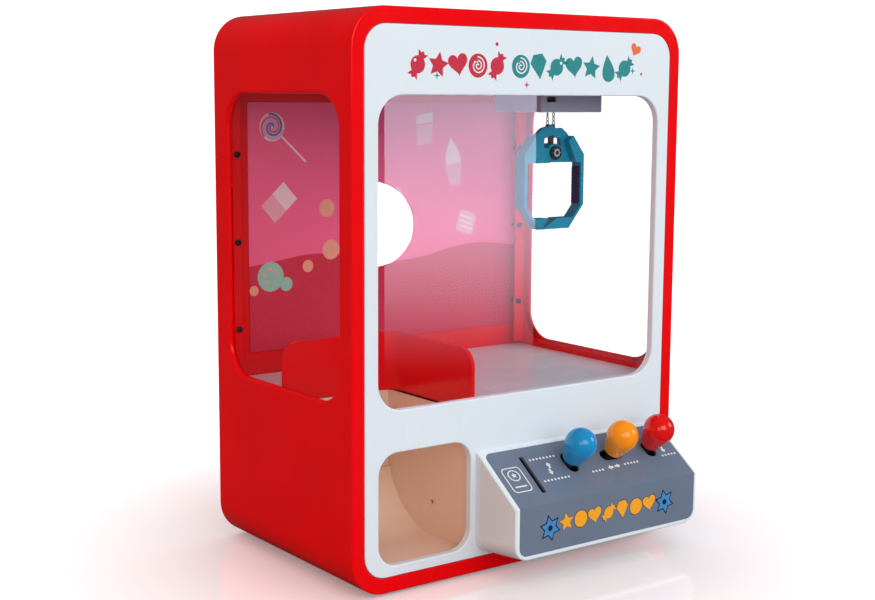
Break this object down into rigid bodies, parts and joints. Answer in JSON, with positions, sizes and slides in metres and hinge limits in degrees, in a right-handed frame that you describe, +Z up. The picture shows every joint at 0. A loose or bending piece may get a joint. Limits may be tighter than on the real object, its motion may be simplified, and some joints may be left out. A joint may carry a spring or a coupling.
{
  "type": "claw crane machine",
  "caption": "Table-top claw crane machine: box cabinet with windows on three sides, a claw on a travelling bridge, a three-lever console and a prize outlet.",
  "frame": {"origin": "middle of the footprint of the whole machine, console included, on the surface it stands on", "axes": "+Z up; -Y towards the player, so the console and windows face -Y; +X to the player's right"},
  "size_m": [0.27, 0.2112, 0.3615],
  "materials": {
    "red_plastic": "gloss",
    "white_plastic": "gloss",
    "beige_plastic": "satin",
    "slate_plastic": "satin",
    "clear_sheet": "clear",
    "card": "printed",
    "grey_plastic": "satin",
    "dark_plastic": "satin",
    "blue_plastic": "gloss",
    "orange_plastic": "gloss",
    "knob_red_plastic": "gloss",
    "claw_plastic": "satin",
    "pad_rubber": "matte",
    "foot_rubber": "matte",
    "steel": "brushed",
    "chain_metal": "dull",
    "circuit_green": "satin"
  },
  "bodies": {
    "cabinet": {"main_housing": "red_plastic", "front_panel": "white_plastic", "front_window": "clear_sheet", "left_window": "clear_sheet", "right_window": "clear_sheet", "left_window_strip": "red_plastic", "right_window_strip": "red_plastic", "cabinet_screws": "steel", "rear_panel": "red_plastic", "playfield_floor": "white_plastic", "chute_guard": "red_plastic", "prize_bin": "beige_plastic", "console_housing": "white_plastic", "console_faceplate": "slate_plastic", "lever_bracket": "dark_plastic", "lever_axles": "steel", "lever_springs": "steel", "switch_board": "circuit_green", "coin_chute": "dark_plastic", "coin_lever_pin": "steel", "battery_box": "dark_plastic", "battery_contacts": "steel", "battery_door": "red_plastic", "speaker": "dark_plastic", "circuit_board": "circuit_green", "power_switch_body": "dark_plastic", "rubber_feet": "foot_rubber", "gantry_rail_left": "white_plastic", "gantry_rail_right": "white_plastic"},
    "loading_door": {"rear_door": "red_plastic", "backdrop_card": "card"},
    "coin_tray": {"coin_drawer": "red_plastic"},
    "coin_arm": {"coin_lever": "dark_plastic"},
    "switch": {"power_switch_slider": "dark_plastic"},
    "blue_stick": {"blue_lever": "dark_plastic", "blue_knob": "blue_plastic"},
    "yellow_stick": {"yellow_lever": "dark_plastic", "yellow_knob": "orange_plastic"},
    "red_stick": {"red_lever": "dark_plastic", "red_knob": "knob_red_plastic"},
    "bridge": {"bridge_carriage_left": "grey_plastic", "bridge_carriage_right": "grey_plastic", "bridge_rods": "steel", "bridge_rack": "white_plastic", "travel_motor": "dark_plastic"},
    "travel_axle": {"travel_shaft": "steel", "travel_pinions": "white_plastic"},
    "trolley": {"trolley_housing": "grey_plastic", "trolley_motor": "dark_plastic", "winch_motor": "dark_plastic"},
    "trolley_gear": {"trolley_pinion": "white_plastic"},
    "winch": {"winch_drum": "white_plastic"},
    "claw": {"claw_chain": "chain_metal", "claw_hanger": "chain_metal", "claw_pivot": "dark_plastic"},
    "left_jaw": {"claw_jaw_left": "claw_plastic", "grip_pad_left": "pad_rubber"},
    "right_jaw": {"claw_jaw_right": "claw_plastic", "grip_pad_right": "pad_rubber"}
  },
  "joints": [
    {"name": "loading_door_hinge", "type": "hinge", "parent": "cabinet", "child": "loading_door", "pos_m": [-0.112, 0.10391, 0.2165], "axis": [0, 0, 1], "range_deg": [0, 95]},
    {"name": "coin_drawer_slide", "type": "slide", "parent": "cabinet", "child": "coin_tray", "axis": [0, 1, 0], "range_m": [0, 0.1]},
    {"name": "coin_lever_swing", "type": "hinge", "parent": "cabinet", "child": "coin_arm", "pos_m": [-0.0026, -0.04459, 0.064], "axis": [0, -1, 0], "range_deg": [0, 24], "stiffness_Nm_per_rad": 0.0004, "springref_deg": -17.19},
    {"name": "power_switch_slide", "type": "slide", "parent": "cabinet", "child": "switch", "axis": [1, 0, 0], "range_m": [0, 0.004]},
    {"name": "blue_lever_tilt", "type": "hinge", "parent": "cabinet", "child": "blue_stick", "pos_m": [0.0247, -0.07408, 0.05818], "axis": [1, 0, 0], "range_deg": [-12, 12], "stiffness_Nm_per_rad": 0.12},
    {"name": "yellow_lever_tilt", "type": "hinge", "parent": "cabinet", "child": "yellow_stick", "pos_m": [0.062, -0.07408, 0.05818], "axis": [0, -0.809, -0.5878], "range_deg": [-12, 12], "stiffness_Nm_per_rad": 0.12},
    {"name": "red_lever_tilt", "type": "hinge", "parent": "cabinet", "child": "red_stick", "pos_m": [0.096, -0.07408, 0.05818], "axis": [1, 0, 0], "range_deg": [0, 12], "stiffness_Nm_per_rad": 0.12, "springref_deg": -2.86},
    {"name": "bridge_travel", "type": "slide", "parent": "cabinet", "child": "bridge", "axis": [0, 1, 0], "range_m": [-0.03, 0.064]},
    {"name": "travel_axle_spin", "type": "hinge", "parent": "bridge", "child": "travel_axle", "pos_m": [0, 0.00141, 0.3315], "axis": [1, 0, 0], "range_deg": [-540, 260]},
    {"name": "trolley_travel", "type": "slide", "parent": "bridge", "child": "trolley", "axis": [1, 0, 0], "range_m": [-0.15, 0.004]},
    {"name": "trolley_gear_spin", "type": "hinge", "parent": "trolley", "child": "trolley_gear", "pos_m": [0.054, 0.03191, 0.3255], "axis": [0, 1, 0], "range_deg": [-1240, 40]},
    {"name": "winch_spin", "type": "hinge", "parent": "trolley", "child": "winch", "pos_m": [0.0695, 0.00141, 0.3135], "axis": [0, 1, 0], "range_deg": [-1, 920]},
    {"name": "claw_lift", "type": "slide", "parent": "trolley", "child": "claw", "axis": [0, 0, -1], "range_m": [0, 0.094], "deforming": ["claw_chain"]},
    {"name": "jaw_left_swing", "type": "hinge", "parent": "claw", "child": "left_jaw", "pos_m": [0.076, 0.00141, 0.2695], "axis": [0, 1, 0], "range_deg": [0, 20]},
    {"name": "jaw_right_swing", "type": "hinge", "parent": "claw", "child": "right_jaw", "pos_m": [0.076, 0.00141, 0.2695], "axis": [0, 1, 0], "range_deg": [-20, 0]}
  ],
  "couplings": [
    {"joint": "travel_axle_spin", "follows": "bridge_travel", "rad_per_m": -142.86},
    {"joint": "trolley_gear_spin", "follows": "trolley_travel", "rad_per_m": 142.86},
    {"joint": "winch_spin", "follows": "claw_lift", "rad_per_m": 166.67},
    {"joint": "jaw_right_swing", "follows": "jaw_left_swing", "ratio": -1}
  ]
}
